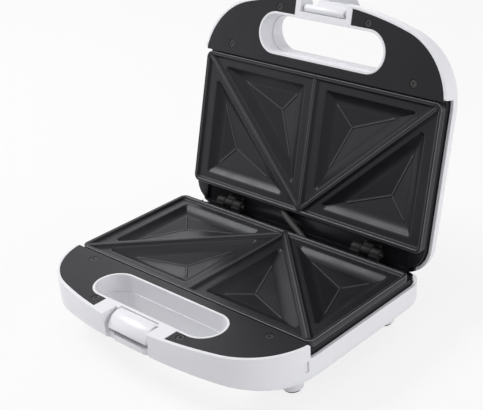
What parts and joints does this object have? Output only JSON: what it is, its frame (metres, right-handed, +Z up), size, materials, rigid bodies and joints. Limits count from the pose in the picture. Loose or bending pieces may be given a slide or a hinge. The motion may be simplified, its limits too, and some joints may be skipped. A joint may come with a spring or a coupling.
{
  "type": "sandwich toaster",
  "caption": "Clamshell sandwich toaster with its lid open, triangular pocket plates, looped handles and a flip-over latch clip.",
  "frame": {"origin": "middle of the underside of the bounding box, with the lid open at its rest angle", "axes": "+X to the right seen from the front, +Y from the handles to the hinge side, +Z up"},
  "size_m": [0.2264, 0.23, 0.2081],
  "materials": {
    "white_shell": "smooth satin moulded plastic",
    "black_plastic": "fine grained heat resistant plastic",
    "coated_plate": "cast, with a dark non-stick coating",
    "bright_steel": "plated sheet and wire",
    "dark_steel": "dark plated screws and annealed element tube",
    "steatite": "pale fired ceramic and glass",
    "rubber": "matt black rubber",
    "red_lens": "clear tinted lens",
    "green_lens": "clear tinted lens"
  },
  "bodies": {
    "base": {"base_shell": "white_shell", "base_handle_panel": "black_plastic", "base_panel_screws": "dark_steel", "base_frame": "black_plastic", "base_frame_screws": "bright_steel", "lower_plate": "coated_plate", "lower_plate_screws": "bright_steel", "lower_heater": "dark_steel", "lower_heater_saddles": "steatite", "lower_reflector": "bright_steel", "thermostat": "black_plastic", "thermal_fuse": "bright_steel", "terminal_block": "steatite", "cord_inlet_bush": "black_plastic", "catch_nose": "white_shell", "foot_pads": "rubber", "base_hinges": "black_plastic", "hinge_pins": "bright_steel", "lead_sleeve": "rubber"},
    "lid": {"lid_shell": "white_shell", "lid_handle_panel": "black_plastic", "lid_panel_screws": "dark_steel", "lid_frame": "black_plastic", "lid_frame_screws": "bright_steel", "upper_plate": "coated_plate", "upper_plate_screws": "bright_steel", "upper_heater": "dark_steel", "upper_heater_saddles": "steatite", "upper_reflector": "bright_steel", "lid_hinges": "black_plastic", "power_lens": "red_lens", "ready_lens": "green_lens", "indicator_lamps": "steatite", "clip_pin": "bright_steel"},
    "latch": {"latch_clip": "white_shell"}
  },
  "joints": [
    {"name": "lid_hinge", "type": "hinge", "parent": "base", "child": "lid", "pos_m": [0, 0.05251, 0.0458], "axis": [1, 0, 0], "range_deg": [0, 105.2], "deforming": ["lead_sleeve"]},
    {"name": "latch_pivot", "type": "hinge", "parent": "lid", "child": "latch", "pos_m": [0, 0.09768, 0.19871], "axis": [1, 0, 0], "range_deg": [0, 125]}
  ]
}
